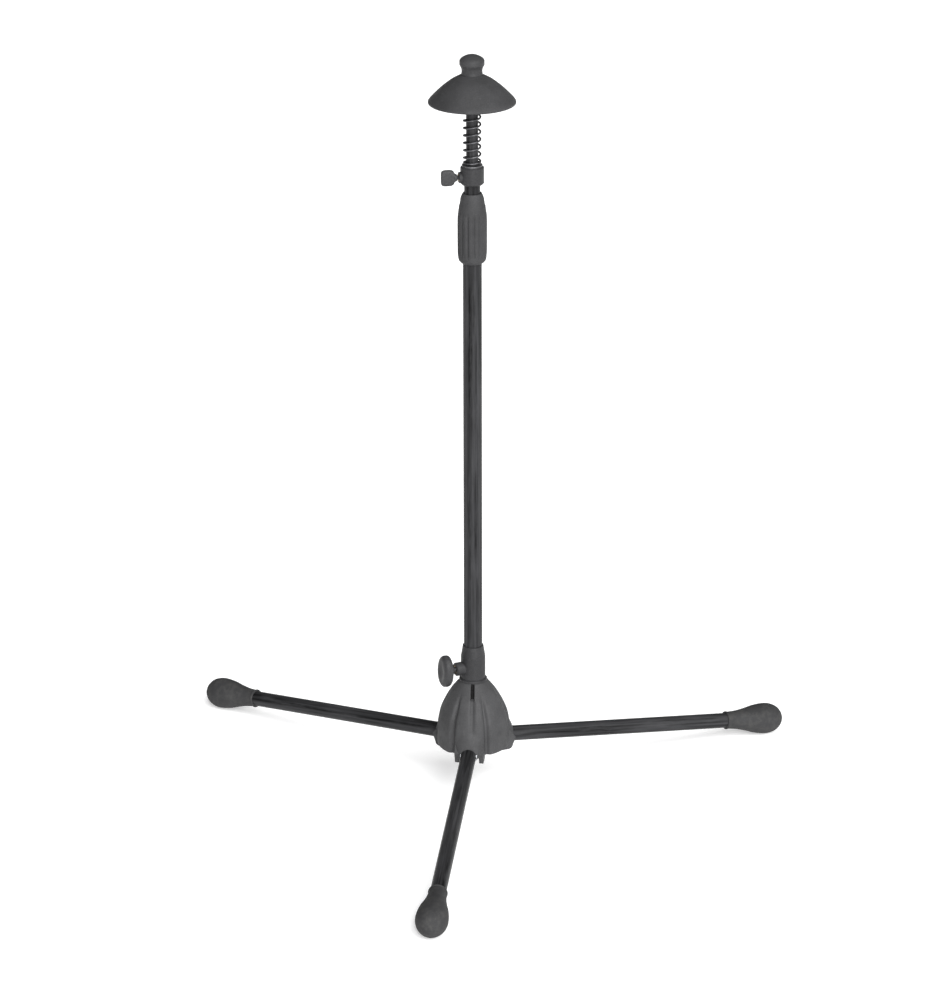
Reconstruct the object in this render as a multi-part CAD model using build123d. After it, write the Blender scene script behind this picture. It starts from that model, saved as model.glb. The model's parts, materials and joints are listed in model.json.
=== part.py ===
from build123d import *
import os
from math import atan2, cos, degrees, hypot, radians, sin, tan

# Tall tripod stand for a brass instrument: three folding legs on a moulded hub, a two-part
# shaft with a twist clutch, and a sprung saucer and peg that carry the bell.
# Millimetres, +Z up. The origin is on the shaft's axis, at floor level.

# ---------------------------------------------------------------- driving dimensions
LEG_ANGLES = {"front": -90, "right": 30, "left": 150}
FOOT_REACH = 341.6          # shaft axis to the middle of a foot
LEG_AXIS_Z = 57.4           # where the legs' axes meet the shaft's axis
TUBE_WALL = 1.2
LEG_TUBE_R = 8.0
LOWER_TUBE_R = 9.5
UPPER_TUBE_R = 8.0
ROD_R = 6.0

HUB_WALL = 3.0
HUB_RIM_Z = 50.0
HUB_TOP_Z = 121.5
WEB_Z = 100.5               # underside of the hub's solid top
NECK_R = 12.7
NECK_TOP_Z = 160.0
BASE_SCREW_Z = 135.5
BASE_SCREW_ANGLE = 210

CLUTCH_LOW_Z = 574.0
CLUTCH_TOP_Z = 646.0
CLUTCH_R = 14.7

COLLAR_LOW_Z = 655.0
COLLAR_TOP_Z = 674.0
COLLAR_R = 11.8
ROD_SCREW_Z = 662.6
ROD_SCREW_ANGLE = 198

SAUCER_R = 43.6
SAUCER_RIM_Z = 738.6
SAUCER_TOP_Z = 767.0
PEG_R = 12.4
PEG_TOP_Z = 787.0

RUNNING = 0.06              # radial clearance of a shaft in its bore
CLEAR = 0.3                 # gap between parts that pass each other

# ---------------------------------------------------------------- leg hinge, worked out
FOOT_R = 16.4
FOOT_Z = 15.9               # a little under the bulb's radius, so the foot has a small flat
SLOPE = degrees(atan2(LEG_AXIS_Z - FOOT_Z, FOOT_REACH))
PIVOT_R = 27.0
PIVOT_Z = LEG_AXIS_Z - PIVOT_R * tan(radians(SLOPE))
LEG_LENGTH = hypot(FOOT_REACH - PIVOT_R, PIVOT_Z - FOOT_Z)
FOLD = 90 - SLOPE           # from standing to hanging straight down
LEVER = 13.0                # pivot to drive pin
LEVER_IN_R = PIVOT_R - LEVER * cos(radians(FOLD / 2))
LEVER_Z = PIVOT_Z - LEVER * sin(radians(FOLD / 2))
STROKE = 2 * LEVER * sin(radians(FOLD / 2))

PIVOT_PIN_R = 2.5
DRIVE_PIN_R = 2.0
TUNNEL_HALF = 10.75         # half width of the leg openings
CHEEK = 4.0                 # thickness of the walls that hold a pivot pin
CHEEK_LOW_Z = 41.5
CHEEK_IN_R = 20.5
PORTAL_R = 44.5             # how far out the leg openings are hooded

BLADE = 5.0                 # thickness of the plunger's blades
KNUCKLE_GAP = BLADE + 2 * CLEAR
LOWER_TUBE_LOW_Z = LEVER_Z + 6.5
LOWER_TUBE_TOP_Z = 612.0
UPPER_TUBE_LOW_Z = 150.0
BIG = 400.0                 # larger than any cut


# ---------------------------------------------------------------- helpers
def lathe(outline, axis=Axis.Z):
    """A closed outline in the XZ plane, turned about an axis."""
    return revolve(make_face(outline), axis)


def turned(*points):
    """A turned part from (radius, height) corners."""
    return lathe(Plane.XZ * Polyline(*points, close=True))


def ring(outer, inner, low, high):
    """A plain tube or washer about the shaft's axis."""
    return turned((inner, low), (outer, low), (outer, high), (inner, high))


def rod(radius, low, high):
    """A plain round bar about the shaft's axis."""
    return Pos(0, 0, low) * Cylinder(radius, high - low, align=(Align.CENTER, Align.CENTER, Align.MIN))


def bar(radius, start, end):
    """A round bar along +X."""
    return Pos(start, 0, 0) * Rot(Y=90) * rod(radius, 0, end - start)


def pipe(outer, inner, start, end):
    """A round tube along +X."""
    return bar(outer, start, end) - bar(inner, start, end)


def block(x0, x1, half_y, z0, z1):
    """A box centred on Y."""
    return Pos((x0 + x1) / 2, 0, (z0 + z1) / 2) * Box(x1 - x0, 2 * half_y, z1 - z0)


def cross_bar(radius, half_length):
    """A round bar along Y through the origin."""
    return Rot(X=90) * Cylinder(radius, 2 * half_length)


def cross_rivet(radius, half_length, head_r, head_t):
    """A rivet along Y with a domed head at each end."""
    rounding = 0.6 * head_t
    rivet = cross_bar(radius, half_length)
    for side in (-1, 1):
        head = Pos(0, side * (half_length + head_t / 2), 0) * cross_bar(head_r, head_t / 2)
        outer = head.edges().filter_by(GeomType.CIRCLE).sort_by(Axis.Y)[-1 if side > 0 else 0]
        rivet += fillet(outer, rounding)
    return rivet


def on_hub(shape, angle):
    """Turn a part from +X to a direction around the shaft."""
    return Rot(Z=angle) * shape


def on_leg(shape, angle):
    """Put a part drawn along +X, with the pivot at the origin, where its leg stands."""
    return on_hub(Pos(PIVOT_R, 0, PIVOT_Z) * Rot(Y=SLOPE) * shape, angle)


def save(name, shape):
    export_step(shape, f"parts/{name}.step")


# ---------------------------------------------------------------- hub
HUB_TOP_R = 14.3
HUB_WAIST = (24.2, 108.5)
HUB_SHOULDER = (34.3, 88.0)
HUB_SKIRT = (37.5, 73.0)
HUB_RIM_R = 37.8
SPIGOT_R = 11.6
SPIGOT_LOW_Z = 114.0
BUSH_R = 10.8
BUSH_LOW_Z = 98.0
BUSH_FLANGE_R = 13.5
SLOT_WIDTH = 4.0
SLOT_DEPTH = 2.6
SLOT_LOW_Z = 97.0
CHEEK_ROUND = 6.0           # rounded low corners of the cheeks
HOOD_CUT = 6.0              # the hood's round stops this far under the pivot
PIN_WALL_RISE = 8.0         # walls beside the pivot pin, above the pivot
ROOM_IN_R = 10.0            # space for a knuckle to swing in
ROOM_OUT_R = 33.5
ROOM_RISE = 10.5
PIN_HEAD_R = 4.0
PIN_HEAD_T = 1.2


def hub_skin(inset):
    """The hub's bell shape as a solid, moved in by an inset."""
    knots = [(HUB_TOP_R, HUB_TOP_Z), HUB_WAIST, HUB_SHOULDER, HUB_SKIRT]
    side = Spline(*[(r - inset, z) for r, z in knots])
    rim = (HUB_RIM_R - inset, HUB_RIM_Z)
    rest = Polyline(side @ 1, rim, (0, HUB_RIM_Z), (0, HUB_TOP_Z), side @ 0)
    return lathe(Plane.XZ * (side + rest))


def leg_portal():
    """The hood and the two cheeks of one leg opening, still solid, along +X."""
    half = TUNNEL_HALF + CHEEK
    hood = Pos(PIVOT_R, 0, PIVOT_Z) * Rot(Y=SLOPE) * bar(half, 1, PORTAL_R - PIVOT_R)
    hood -= block(0, BIG, BIG, 0, PIVOT_Z - HOOD_CUT)
    cheeks = block(CHEEK_IN_R, PORTAL_R - 1, half, CHEEK_LOW_Z, PIVOT_Z - 2)
    low_corners = cheeks.edges().filter_by(Axis.Y).group_by(Axis.Z)[0]
    pin_walls = block(CHEEK_IN_R, HUB_SHOULDER[0] - 1, half, PIVOT_Z - 3, PIVOT_Z + PIN_WALL_RISE)
    return hood + fillet(low_corners, CHEEK_ROUND) + pin_walls


def leg_tunnel():
    """The space that a leg and its knuckle need, along +X."""
    arch = Pos(PIVOT_R, 0, PIVOT_Z) * Rot(Y=SLOPE) * bar(TUNNEL_HALF, 0, PORTAL_R)
    way_down = block(PIVOT_R, 2 * PORTAL_R, TUNNEL_HALF, 0, PIVOT_Z - 2)
    room = block(ROOM_IN_R, ROOM_OUT_R, TUNNEL_HALF, 0, PIVOT_Z + ROOM_RISE)
    return arch + way_down + room


def hub_housing():
    shell = hub_skin(0)
    cavity = hub_skin(HUB_WALL) & rod(BIG, 0, WEB_Z)
    shell -= cavity
    skin_band = hub_skin(0) - hub_skin(SLOT_DEPTH)
    slot = block(0, BIG, SLOT_WIDTH / 2, SLOT_LOW_Z, HUB_TOP_Z)
    pin_hole = Pos(PIVOT_R, 0, PIVOT_Z) * cross_bar(PIVOT_PIN_R, HUB_RIM_R)
    for angle in LEG_ANGLES.values():
        shell += on_hub(leg_portal(), angle)
    for angle in LEG_ANGLES.values():
        shell -= on_hub(leg_tunnel(), angle)
        shell -= on_hub(pin_hole, angle)
        shell -= skin_band & on_hub(slot, angle)
    shell -= rod(BUSH_R, 0, HUB_TOP_Z + 1)
    shell -= rod(SPIGOT_R, SPIGOT_LOW_Z, HUB_TOP_Z + 1)
    return shell


def guide_bush():
    bore = LOWER_TUBE_R + RUNNING
    return turned((bore, BUSH_LOW_Z), (BUSH_FLANGE_R, BUSH_LOW_Z), (BUSH_FLANGE_R, WEB_Z),
                  (BUSH_R, WEB_Z), (BUSH_R, SPIGOT_LOW_Z), (bore, SPIGOT_LOW_Z))


def pivot_pins():
    half = TUNNEL_HALF + CHEEK
    pin = Pos(PIVOT_R, 0, PIVOT_Z) * cross_rivet(PIVOT_PIN_R, half, PIN_HEAD_R, PIN_HEAD_T)
    return Part() + [on_hub(pin, angle) for angle in LEG_ANGLES.values()]


# ---------------------------------------------------------------- neck collar and base screw
BOSS_R = 7.0
BOSS_FACE = 20.5            # distance of the boss's face from the shaft's axis
BASE_SCREW_R = 2.95
BASE_INSERT_R = 4.4
BASE_PAD_BACK = 12.5
LIP_R = 14.4
LIP_T = 2.6
LIP_EDGE = 0.8
NECK_FULL_Z = 148.0         # the neck tapers above this
NECK_MOUTH_T = 0.9


def neck_collar():
    bore = LOWER_TUBE_R + CLEAR
    collar = turned((bore, SPIGOT_LOW_Z), (SPIGOT_R, SPIGOT_LOW_Z), (SPIGOT_R, HUB_TOP_Z), (LIP_R, HUB_TOP_Z),
                    (LIP_R, HUB_TOP_Z + LIP_T - LIP_EDGE), (LIP_R - LIP_EDGE, HUB_TOP_Z + LIP_T),
                    (NECK_R, HUB_TOP_Z + LIP_T), (NECK_R, NECK_FULL_Z), (bore + NECK_MOUTH_T, NECK_TOP_Z),
                    (bore, NECK_TOP_Z))
    boss = bar(BOSS_R, 0, BOSS_FACE)
    boss = chamfer(boss.edges().filter_by(GeomType.CIRCLE).sort_by(Axis.X)[-1], 1.0)
    at_screw = Pos(0, 0, BASE_SCREW_Z)
    collar += on_hub(at_screw * boss, BASE_SCREW_ANGLE) - rod(bore, 0, BIG)
    collar -= on_hub(at_screw * bar(BASE_INSERT_R, BASE_PAD_BACK + 0.5, BIG), BASE_SCREW_ANGLE)
    collar -= on_hub(at_screw * bar(BASE_SCREW_R + CLEAR, 0, BIG), BASE_SCREW_ANGLE)
    return collar


def base_insert():
    return pipe(BASE_INSERT_R, BASE_SCREW_R + RUNNING, BASE_PAD_BACK + 0.5, BOSS_FACE - 0.5)


def base_pad():
    return bar(BASE_SCREW_R, LOWER_TUBE_R + RUNNING, BASE_PAD_BACK)


BASE_KNOB_IN = 23.2
BASE_KNOB_OUT = 36.0
BASE_KNOB_LONG = 35.5
BASE_KNOB_WIDE = 26.0
BASE_KNOB_TURN = -12        # the paddle's long axis stands a little off upright
BASE_BARREL_LONG = 3.2
BASE_DISH_R = 12.0
BASE_DISH_DEPTH = 1.8
BASE_BARREL_R = 5.6
BASE_SCREW_END = 31.0


def base_screw():
    return bar(BASE_SCREW_R, BASE_PAD_BACK, BASE_SCREW_END)


def base_knob():
    """An oval paddle across the end of a short barrel, with a dished middle."""
    plate_in = BASE_KNOB_IN + BASE_BARREL_LONG
    oval = Plane.YZ.offset(plate_in) * Ellipse(BASE_KNOB_WIDE / 2, BASE_KNOB_LONG / 2)
    plate = extrude(oval, BASE_KNOB_OUT - plate_in)
    plate = fillet(plate.edges().sort_by(Axis.X)[-1], 4.0)
    plate = fillet(plate.edges().sort_by(Axis.X)[0], 2.2)
    knob = plate + bar(BASE_BARREL_R, BASE_KNOB_IN, plate_in + 2)
    knob -= Pos(BASE_KNOB_OUT + BASE_DISH_R - BASE_DISH_DEPTH, 0, 0) * Sphere(BASE_DISH_R)
    return Rot(X=BASE_KNOB_TURN) * knob - bar(BASE_SCREW_R, 0, BASE_SCREW_END)


# ---------------------------------------------------------------- legs
PLUG_R = LEG_TUBE_R - TUBE_WALL
SHOULDER_IN = 7.0
SHOULDER_OUT = 11.0
SHOULDER_R = TUNNEL_HALF - 0.35
PLUG_OUT = 30.0
TUBE_SHORT = 8.0            # the leg tube ends this far before the middle of the foot
EYE_HALF = 8.0
EYE_WEB_HALF = 4.8
WASHER_R = 5.2              # faces that rub on the cheeks
EYE_R = 7.0                 # round end of the knuckle about its pivot
EAR_R = 4.5                 # round end of the lever about the drive pin
EAR_HALF = 7.5
RIVET_AT = 13.5
RIVET_R = 1.5
RIVET_HEAD_R = 2.6
RIVET_HEAD_T = 0.8
LEVER_TURN = 180 + FOLD / 2 + SLOPE
FOOT_NECK = 48.0            # foot's neck to the middle of its bulb
FOOT_TIP = 20.0
FOOT_NECK_T = 0.8
FOOT_FLARE = [(-34, 10.2), (-15, 14.7)]
FOOT_LIP_R = 1.1


def leg_tube():
    return pipe(LEG_TUBE_R, PLUG_R, SHOULDER_OUT, LEG_LENGTH - TUBE_SHORT) - leg_rivet()


def lever_arm():
    """The lever from the pivot's eye to the drive pin, drawn along its own length."""
    arm = block(0, LEVER, EAR_HALF, -EAR_R, EAR_R)
    return Rot(Y=-LEVER_TURN) * (arm + Pos(LEVER, 0, 0) * cross_bar(EAR_R, EAR_HALF))


def at_drive_pin(shape):
    return Rot(Y=-LEVER_TURN) * Pos(LEVER, 0, 0) * shape


def leg_knuckle():
    knuckle = bar(PLUG_R, SHOULDER_OUT, PLUG_OUT) + bar(SHOULDER_R, SHOULDER_IN, SHOULDER_OUT)
    knuckle += cross_bar(EYE_R, EYE_HALF)
    knuckle += block(0, SHOULDER_IN + 1, EYE_HALF, -EYE_WEB_HALF, EYE_WEB_HALF)
    knuckle += cross_bar(WASHER_R, TUNNEL_HALF - CLEAR) + lever_arm()
    knuckle -= block(-BIG, EYE_R - 2, KNUCKLE_GAP / 2, -BIG, BIG)
    knuckle -= cross_bar(PIVOT_PIN_R + RUNNING, TUNNEL_HALF)
    return knuckle - at_drive_pin(cross_bar(DRIVE_PIN_R, EYE_HALF)) - leg_rivet()


def drive_pin():
    return at_drive_pin(cross_bar(DRIVE_PIN_R, EAR_HALF))


def leg_rivet():
    return Pos(RIVET_AT, 0, 0) * cross_rivet(RIVET_R, LEG_TUBE_R, RIVET_HEAD_R, RIVET_HEAD_T)


def foot():
    """A rubber bulb drawn along the leg; its sole is cut flat once it stands on the floor."""
    neck = (-FOOT_NECK, LEG_TUBE_R + FOOT_NECK_T)
    flare = Spline(neck, *FOOT_FLARE, (0, FOOT_R), tangents=[(1, 0.02), (1, 0)])
    tip = EllipticalCenterArc((0, 0), FOOT_TIP, FOOT_R, 0, arc_size=90)
    base = Polyline((FOOT_TIP, 0), (-FOOT_NECK, 0), neck)
    bulb = lathe(flare + tip + base, Axis.X)
    lip = Pos(-FOOT_NECK + FOOT_LIP_R, 0, 0) * Rot(Y=90) * Torus(LEG_TUBE_R + FOOT_LIP_R / 2, FOOT_LIP_R)
    return Pos(LEG_LENGTH, 0, 0) * (bulb + lip) - bar(LEG_TUBE_R, 0, LEG_LENGTH - TUBE_SHORT)


def standing_foot(angle):
    return on_leg(foot(), angle) - Pos(0, 0, -BIG) * Box(3 * BIG, 3 * BIG, 2 * BIG)


# ---------------------------------------------------------------- lower shaft
CORE_R = 9.0
BLADE_R = LEVER_IN_R + DRIVE_PIN_R + 3.0
BLADE_HALF_Z = 6.0
PLUNGER_BORE_R = 4.0
PLUNGER_ROOF = 6.0
SLOT_IN_R = PIVOT_R - LEVER - DRIVE_PIN_R - 0.4
SLOT_OUT_R = LEVER_IN_R + DRIVE_PIN_R + 0.4
SLOT_HALF_Z = DRIVE_PIN_R + 0.5
PLUNGER_TOP_Z = LOWER_TUBE_LOW_Z + 18
PLUNGER_RIVET_Z = LOWER_TUBE_LOW_Z + 10


def plunger_rivet():
    rivet = cross_rivet(RIVET_R, LOWER_TUBE_R, RIVET_HEAD_R, RIVET_HEAD_T)
    return Pos(0, 0, PLUNGER_RIVET_Z) * Rot(Z=90) * rivet


def lower_tube():
    return ring(LOWER_TUBE_R, LOWER_TUBE_R - TUBE_WALL, LOWER_TUBE_LOW_Z, LOWER_TUBE_TOP_Z) - plunger_rivet()


def fold_plunger():
    """The foot of the shaft: three slotted blades that lift the legs' drive pins."""
    low = LEVER_Z - BLADE_HALF_Z
    plunger = rod(CORE_R, low, LOWER_TUBE_LOW_Z) + rod(LOWER_TUBE_R - TUBE_WALL, low, PLUNGER_TOP_Z)
    blade = block(0, BLADE_R, BLADE / 2, low, LEVER_Z + BLADE_HALF_Z)
    slot = block(SLOT_IN_R, SLOT_OUT_R, BLADE, LEVER_Z - SLOT_HALF_Z, LEVER_Z + SLOT_HALF_Z)
    for angle in LEG_ANGLES.values():
        plunger += on_hub(blade, angle)
    for angle in LEG_ANGLES.values():
        plunger -= on_hub(slot, angle)
    return plunger - plunger_rivet() - rod(PLUNGER_BORE_R, 0, PLUNGER_TOP_Z - PLUNGER_ROOF)


# ---------------------------------------------------------------- twist clutch
FERRULE_R = 11.6
FERRULE_LOW_Z = 585.0
NUT_R = 13.2
COLLET_LOW_Z = LOWER_TUBE_TOP_Z + CLEAR
COLLET_TOP_Z = 634.0
NUT_CONE_Z = 616.0
COLLET_R = 11.2
COLLET_TIP_R = 9.6
NUT_LOW_Z = CLUTCH_LOW_Z + 3
NUT_WALL_Z = 630.0          # the nut's wall and roof meet in a taper above this
NUT_TOP_Z = 640.0
NUT_MOUTH_R = NUT_R - 2
GRIP_FOOT_R = 10.7
GRIP_MOUTH_R = 8.4
GRIP_CROWN_R = 9.6
GRIP_FULL = (585.0, 617.0)  # the grip is widest between these heights
FLUTES = 14
FLUTE_R = 1.3
FLUTE_TOP_Z = 632.0


def clutch_ferrule():
    ferrule = ring(FERRULE_R, LOWER_TUBE_R, FERRULE_LOW_Z, LOWER_TUBE_TOP_Z)
    ends = ferrule.edges().filter_by(GeomType.CIRCLE).filter_by(lambda e: e.radius > FERRULE_R - 0.1)
    return chamfer(ends, 0.8)


def clutch_collet():
    """A slit cone that closes on the upper tube."""
    bore = UPPER_TUBE_R + RUNNING
    collet = turned((bore, COLLET_LOW_Z), (COLLET_R, COLLET_LOW_Z), (COLLET_R, NUT_CONE_Z),
                    (COLLET_TIP_R, COLLET_TOP_Z), (bore, COLLET_TOP_Z))
    slit = block(0, BIG, 0.8, NUT_CONE_Z + 1, COLLET_TOP_Z + 1)
    for turn in range(4):
        collet -= Rot(Z=45 + 90 * turn) * slit
    return collet


def clutch_nut():
    """The nut turns on the ferrule and its cone squeezes the collet."""
    thread = FERRULE_R + RUNNING
    cone_top = COLLET_TIP_R + CLEAR
    roof_z = COLLET_TOP_Z + 1.5
    return turned((LOWER_TUBE_R + CLEAR, NUT_LOW_Z), (NUT_R, NUT_LOW_Z), (NUT_R, NUT_WALL_Z),
                  (NUT_MOUTH_R, NUT_TOP_Z), (UPPER_TUBE_R + CLEAR, NUT_TOP_Z), (UPPER_TUBE_R + CLEAR, roof_z),
                  (cone_top, roof_z), (cone_top, COLLET_TOP_Z), (thread, NUT_CONE_Z),
                  (thread, FERRULE_LOW_Z - 2), (LOWER_TUBE_R + CLEAR, FERRULE_LOW_Z - 2))


def clutch_grip():
    """The fluted hand grip over the nut."""
    full_low, full_high = GRIP_FULL
    foot = (GRIP_FOOT_R, CLUTCH_LOW_Z)
    crown = (GRIP_CROWN_R, CLUTCH_TOP_Z)
    side = Spline((CLUTCH_R, full_high), (13.6, 629), (12.4, 638), crown, tangents=[(0, 1), (-0.7, 0.7)])
    low_side = Spline(foot, (13.5, CLUTCH_LOW_Z + 4.5), (CLUTCH_R, full_low), tangents=[(0.9, 0.5), (0, 1)])
    rest = Polyline(crown, (GRIP_MOUTH_R, CLUTCH_TOP_Z), (GRIP_MOUTH_R, NUT_TOP_Z), (NUT_MOUTH_R, NUT_TOP_Z),
                    (NUT_R, NUT_WALL_Z), (NUT_R, NUT_LOW_Z), (10, NUT_LOW_Z), (10, CLUTCH_LOW_Z), foot)
    grip = lathe(Plane.XZ * (side + Line((CLUTCH_R, full_low), (CLUTCH_R, full_high)) + low_side + rest))
    flute = Pos(CLUTCH_R + FLUTE_R / 2, 0, 0) * rod(FLUTE_R, CLUTCH_LOW_Z + 6, FLUTE_TOP_Z)
    for turn in range(FLUTES):
        grip -= Rot(Z=360 * turn / FLUTES) * flute
    return grip


# ---------------------------------------------------------------- upper shaft
UPPER_TUBE_TOP_Z = COLLAR_TOP_Z - 3
UPPER_BORE_R = UPPER_TUBE_R - TUBE_WALL
ROD_BUSH_LOW_Z = 642.0
ROD_SCREW_R = 2.45
ROD_HOLE_R = ROD_SCREW_R + CLEAR
ROD_INSERT_R = 3.9
ROD_PAD_BACK = 8.4
ROD_BOSS_FACE = 14.0
ROD_SCREW_END = 25.0
ROD_BOSS_R = 5.6
COLLAR_EDGE = 1.6
BORE_THROUGH = 30.0
GUIDE_SKIRT = 10.0          # tube guide below and inside the upper tube
GUIDE_PLUG = 15.0
GUIDE_BORE_R = 5.0
SEAT_R = 10.3
SEAT_T = 1.2
TAB_IN = 17.0
TAB_OUT = 31.5
TAB_HIGH = 16.5
TAB_THICK = 5.5
TAB_SHOULDER_R = 3.8
TAB_SHOULDER_IN = 15.4


def rod_screw_hole(radius):
    return on_hub(Pos(0, 0, ROD_SCREW_Z) * bar(radius, 0, BORE_THROUGH), ROD_SCREW_ANGLE)


def upper_tube():
    tube = ring(UPPER_TUBE_R, UPPER_BORE_R, UPPER_TUBE_LOW_Z, UPPER_TUBE_TOP_Z)
    return tube - rod_screw_hole(ROD_HOLE_R)


def tube_guide():
    """A plug that centres the upper tube inside the lower one."""
    guide_r = LOWER_TUBE_R - TUBE_WALL - RUNNING
    low = UPPER_TUBE_LOW_Z - GUIDE_SKIRT
    high = UPPER_TUBE_LOW_Z + GUIDE_PLUG
    return turned((GUIDE_BORE_R, low), (guide_r - 1, low), (guide_r, low + 1), (guide_r, UPPER_TUBE_LOW_Z),
                  (UPPER_BORE_R, UPPER_TUBE_LOW_Z), (UPPER_BORE_R, high), (GUIDE_BORE_R, high))


def top_collar():
    body = ring(COLLAR_R, UPPER_TUBE_R, COLLAR_LOW_Z, COLLAR_TOP_Z)
    rims = body.edges().filter_by(GeomType.CIRCLE).filter_by(lambda e: e.radius > COLLAR_R - 0.1)
    body = chamfer(rims, COLLAR_EDGE)
    boss = bar(ROD_BOSS_R, 0, ROD_BOSS_FACE)
    boss = chamfer(boss.edges().filter_by(GeomType.CIRCLE).sort_by(Axis.X)[-1], 0.8)
    body += on_hub(Pos(0, 0, ROD_SCREW_Z) * boss, ROD_SCREW_ANGLE) - rod(UPPER_TUBE_R, 0, 2 * BIG)
    return body - rod_screw_hole(ROD_INSERT_R)


def rod_bush():
    bore = ROD_R + RUNNING
    bush = turned((bore, ROD_BUSH_LOW_Z), (UPPER_BORE_R, ROD_BUSH_LOW_Z), (UPPER_BORE_R, UPPER_TUBE_TOP_Z),
                  (UPPER_TUBE_R, UPPER_TUBE_TOP_Z), (UPPER_TUBE_R, COLLAR_TOP_Z), (bore, COLLAR_TOP_Z))
    return bush - rod_screw_hole(ROD_HOLE_R)


def rod_insert():
    return pipe(ROD_INSERT_R, ROD_SCREW_R + RUNNING, ROD_PAD_BACK + 0.3, ROD_BOSS_FACE - 0.3)


def rod_pad():
    return bar(ROD_SCREW_R, ROD_R + RUNNING, ROD_PAD_BACK)


def rod_screw():
    return bar(ROD_SCREW_R, ROD_PAD_BACK, ROD_SCREW_END)


def rod_knob():
    """A flat thumb tab with rounded corners on a small round shoulder."""
    tab = Pos((TAB_IN + TAB_OUT) / 2, 0, 0) * Box(TAB_OUT - TAB_IN, TAB_THICK, TAB_HIGH)
    tab = fillet(tab.edges().filter_by(Axis.Y), TAB_HIGH / 4)
    tab = fillet(tab.edges().group_by(Axis.Y)[0] + tab.edges().group_by(Axis.Y)[-1], TAB_THICK / 4)
    knob = tab + bar(TAB_SHOULDER_R, TAB_SHOULDER_IN, TAB_IN + 4)
    return knob - bar(ROD_SCREW_R, 0, ROD_SCREW_END)


def spring_seat(low, high):
    return ring(SEAT_R, ROD_R + CLEAR, low, high)


# ---------------------------------------------------------------- bell rod and spring
FLANGE_Z = 740.0
ROD_LOW_Z = 612.0
ROD_WALL = 1.0
SPINDLE_R = 4.0
FLANGE_R = 9.5
FLANGE_T = 2.0
PLUG_DEPTH = 18.0
CLIP_T = 2.0
REST_SCREW_R = 2.0
REST_SCREW_LOW_Z = 750.0
HEAD_R = 3.8
HEAD_T = 2.6
WASHER_OUT_R = 7.0
SAUCER_HUB_LOW_Z = FLANGE_Z + FLANGE_T + CLEAR
SAUCER_HUB_TOP_Z = 764.0
SPINDLE_TOP_Z = SAUCER_HUB_TOP_Z + CLEAR
SPRING_R = 8.25             # axis to the middle of the wire
WIRE_R = 1.0
SPRING_TURNS = 9
SPRING_LOW_Z = COLLAR_TOP_Z + SEAT_T
SPRING_HIGH_Z = FLANGE_Z - SEAT_T


def bell_rod():
    return ring(ROD_R, ROD_R - ROD_WALL, ROD_LOW_Z, FLANGE_Z)


def rod_plug():
    """Closes the rod's top and carries the turning spindle of the bell rest."""
    plug = rod(ROD_R - ROD_WALL, FLANGE_Z - PLUG_DEPTH, FLANGE_Z)
    plug += rod(FLANGE_R, FLANGE_Z, FLANGE_Z + FLANGE_T)
    plug += rod(SPINDLE_R, FLANGE_Z, SPINDLE_TOP_Z)
    return plug - rod(REST_SCREW_R, REST_SCREW_LOW_Z, SPINDLE_TOP_Z + 1)


def rod_clip():
    """The ring that keeps the spring from pushing the rod out."""
    high = ROD_BUSH_LOW_Z - CLEAR
    return ring(UPPER_BORE_R - CLEAR, ROD_R, high - CLIP_T, high)


def bell_spring():
    gap = 0.1
    height = SPRING_HIGH_Z - SPRING_LOW_Z - 2 * (WIRE_R + gap)
    path = Helix(height / SPRING_TURNS, height, SPRING_R)
    wire = Plane(path @ 0, z_dir=path % 0) * Circle(WIRE_R)
    return Pos(0, 0, SPRING_LOW_Z + WIRE_R + gap) * sweep(wire, path, is_frenet=True)


def rest_washer():
    return ring(WASHER_OUT_R, REST_SCREW_R, SPINDLE_TOP_Z, SPINDLE_TOP_Z + 1)


def rest_screw():
    head_low = SPINDLE_TOP_Z + 1
    head = rod(HEAD_R, head_low, head_low + HEAD_T)
    head = fillet(head.edges().filter_by(GeomType.CIRCLE).sort_by(Axis.Z)[-1], 1.2)
    slot = Pos(0, 0, head_low + HEAD_T) * Box(BIG, 1.0, HEAD_T)
    return head - slot + rod(REST_SCREW_R, REST_SCREW_LOW_Z, head_low)


# ---------------------------------------------------------------- bell rest
SAUCER_KNOTS = [(20.5, 761.3), (32.3, 751.8)]
UNDER_KNOTS = [(30.5, 749.9), (19.3, 758.6)]
SAUCER_EDGE_T = 2.4
SAUCER_HUB_R = 9.0
SAUCER_NECK = (13.0, 761.0)
PEG_WAIST_R = 10.7
PEG_WAIST_Z = 773.0
PEG_SPIGOT_R = 9.6
PEG_BORE_R = 8.0
PEG_SEAT_Z = 766.6
PEG_SPIGOT_LOW_Z = 763.4
PEG_ROOF_Z = 771.0
PEG_LAND = (776.0, 781.0)   # straight part that centres the bell
PEG_CROWN = [(10.4, 783.4), (6.5, 785.6)]


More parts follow.
